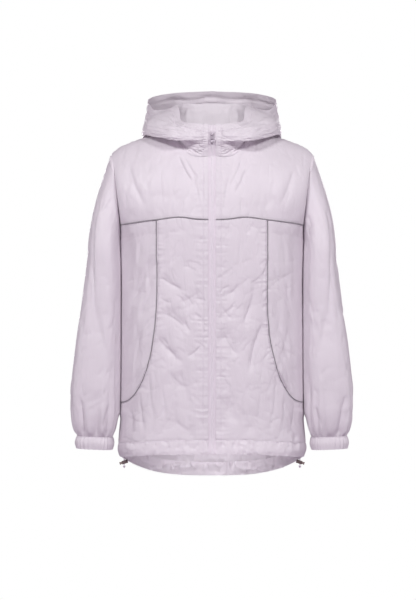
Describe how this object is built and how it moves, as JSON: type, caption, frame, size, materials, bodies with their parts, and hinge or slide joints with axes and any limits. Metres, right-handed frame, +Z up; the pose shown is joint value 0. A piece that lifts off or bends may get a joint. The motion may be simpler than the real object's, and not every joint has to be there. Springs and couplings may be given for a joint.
{
  "type": "hooded windbreaker jacket",
  "caption": "Hooded zip-front nylon windbreaker with piped yoke and side seams, gathered cuffs, a dropped back hem with cord locks, filled out as when worn.",
  "frame": {"origin": "middle of the neck opening, where the wearer's shoulders hold the jacket", "axes": "+Z up, the front faces -Y, and +X is the wearer's left"},
  "size_m": [0.5632, 0.2972, 0.7884],
  "materials": {
    "lilac_nylon": "crinkled lilac nylon with a slight sheen",
    "grey_piping": "smooth grey reflective piping",
    "zip_tape": "woven tape",
    "zip_chain": "closed plastic coil",
    "zip_metal": "satin",
    "cord": "braided elastic cord",
    "lock_brown": "dark brown plastic",
    "button_brown": "brown plastic"
  },
  "bodies": {
    "jacket": {"back_panel": "lilac_nylon", "cord_knot_left": "cord", "cord_knot_right": "cord", "cord_left": "cord", "cord_lock_left": "lock_brown", "cord_lock_right": "lock_brown", "cord_right": "cord", "cuff_left": "lilac_nylon", "cuff_right": "lilac_nylon", "front_panel_left": "lilac_nylon", "front_panel_right": "lilac_nylon", "front_yoke_left": "lilac_nylon", "front_yoke_right": "lilac_nylon", "hem_back": "lilac_nylon", "hem_front_left": "lilac_nylon", "hem_front_right": "lilac_nylon", "hood_centre": "lilac_nylon", "hood_side_left": "lilac_nylon", "hood_side_right": "lilac_nylon", "piping_side_left": "grey_piping", "piping_side_right": "grey_piping", "piping_yoke_left": "grey_piping", "piping_yoke_right": "grey_piping", "side_panel_left": "lilac_nylon", "side_panel_right": "lilac_nylon", "sleeve_left": "lilac_nylon", "sleeve_right": "lilac_nylon", "zip_chain": "zip_chain", "zip_slider": "zip_metal", "zip_tape_left": "zip_tape", "zip_tape_right": "zip_tape"},
    "pull_tab": {"zip_pull": "zip_metal"},
    "button_left": {"cord_button_left": "button_brown"},
    "button_right": {"cord_button_right": "button_brown"}
  },
  "joints": [
    {"name": "pull_tab_hinge", "type": "hinge", "parent": "jacket", "child": "pull_tab", "pos_m": [0, -0.11066, 0.019], "axis": [-1, 0, 0], "range_deg": [0, 150]},
    {"name": "button_left_press", "type": "slide", "parent": "jacket", "child": "button_left", "axis": [-0.9563, 0, 0.2924], "range_m": [0, 0.002], "stiffness_N_per_m": 300, "springref_m": -0.002},
    {"name": "button_right_press", "type": "slide", "parent": "jacket", "child": "button_right", "axis": [0.9563, 0, 0.2924], "range_m": [0, 0.002], "stiffness_N_per_m": 300, "springref_m": -0.002}
  ]
}
